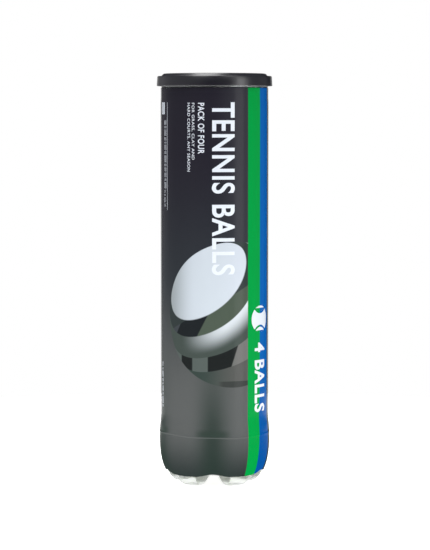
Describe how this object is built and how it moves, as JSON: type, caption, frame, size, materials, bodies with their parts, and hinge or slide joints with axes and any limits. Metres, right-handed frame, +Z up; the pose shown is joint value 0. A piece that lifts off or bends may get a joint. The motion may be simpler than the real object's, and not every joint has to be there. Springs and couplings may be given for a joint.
{
  "type": "tennis ball can",
  "caption": "Clear plastic can on five feet with a printed sleeve, a ring-pull metal end and a press-on overcap, holding a stack of felt-covered balls.",
  "frame": {"origin": "the centre of the circle that the five feet stand on, on the ground", "axes": "+Z up the can's axis to the overcap; -Y to the front of the printed sleeve"},
  "size_m": [0.0792, 0.0792, 0.2807],
  "materials": {
    "clear_plastic": "clear stretch-blown PET, glossy",
    "sleeve_film": "printed shrink film, near black going to smoky grey, semi-gloss",
    "metal_sheet": "bright lacquered sheet with fine rolling lines",
    "sealing_rubber": "matt water-based can sealing compound",
    "cap_plastic": "satin black polyethylene",
    "core_rubber": "matt dark rubber",
    "felt": "optic yellow woven felt with a raised nap",
    "seam_rubber": "matt off-white vulcanised rubber"
  },
  "bodies": {
    "can": {"can_body": "clear_plastic", "label_sleeve": "sleeve_film", "end_ring": "metal_sheet", "seam_compound": "sealing_rubber"},
    "tear_panel": {"tear_panel": "metal_sheet", "tab_tongue": "metal_sheet"},
    "pull_tab": {"pull_tab": "metal_sheet"},
    "overcap": {"overcap": "cap_plastic"},
    "ball_1": {"ball_1_core_lower": "core_rubber", "ball_1_core_upper": "core_rubber", "ball_1_felt_a": "felt", "ball_1_felt_b": "felt", "ball_1_seam": "seam_rubber"},
    "ball_2": {"ball_2_core_lower": "core_rubber", "ball_2_core_upper": "core_rubber", "ball_2_felt_a": "felt", "ball_2_felt_b": "felt", "ball_2_seam": "seam_rubber"},
    "ball_3": {"ball_3_core_lower": "core_rubber", "ball_3_core_upper": "core_rubber", "ball_3_felt_a": "felt", "ball_3_felt_b": "felt", "ball_3_seam": "seam_rubber"},
    "ball_4": {"ball_4_core_lower": "core_rubber", "ball_4_core_upper": "core_rubber", "ball_4_felt_a": "felt", "ball_4_felt_b": "felt", "ball_4_seam": "seam_rubber"}
  },
  "joints": [
    {"name": "tear_panel_lift", "type": "slide", "parent": "can", "child": "tear_panel", "axis": [0, 0, 1], "range_m": [0, 0.365]},
    {"name": "overcap_lift", "type": "slide", "parent": "tear_panel", "child": "overcap", "axis": [0, 0, 1], "range_m": [0, 0.06]},
    {"name": "tab_lift", "type": "hinge", "parent": "tear_panel", "child": "pull_tab", "pos_m": [0, -0.0297, 0.2719], "axis": [1, 0, 0], "range_deg": [0, 80]},
    {"name": "ball_1_lift", "type": "slide", "parent": "can", "child": "ball_1", "axis": [0, 0, 1], "range_m": [0, 0.285]},
    {"name": "ball_2_lift", "type": "slide", "parent": "can", "child": "ball_2", "axis": [0, 0, 1], "range_m": [0, 0.305]},
    {"name": "ball_3_lift", "type": "slide", "parent": "can", "child": "ball_3", "axis": [0, 0, 1], "range_m": [0, 0.325]},
    {"name": "ball_4_lift", "type": "slide", "parent": "can", "child": "ball_4", "axis": [0, 0, 1], "range_m": [0, 0.345]}
  ],
  "couplings": [
    {"joint": "tab_lift", "follows": "overcap_lift", "rad_per_m": 23},
    {"joint": "ball_1_lift", "follows": "tear_panel_lift", "ratio": 0.78},
    {"joint": "ball_2_lift", "follows": "tear_panel_lift", "ratio": 0.835},
    {"joint": "ball_3_lift", "follows": "tear_panel_lift", "ratio": 0.89},
    {"joint": "ball_4_lift", "follows": "tear_panel_lift", "ratio": 0.945}
  ]
}
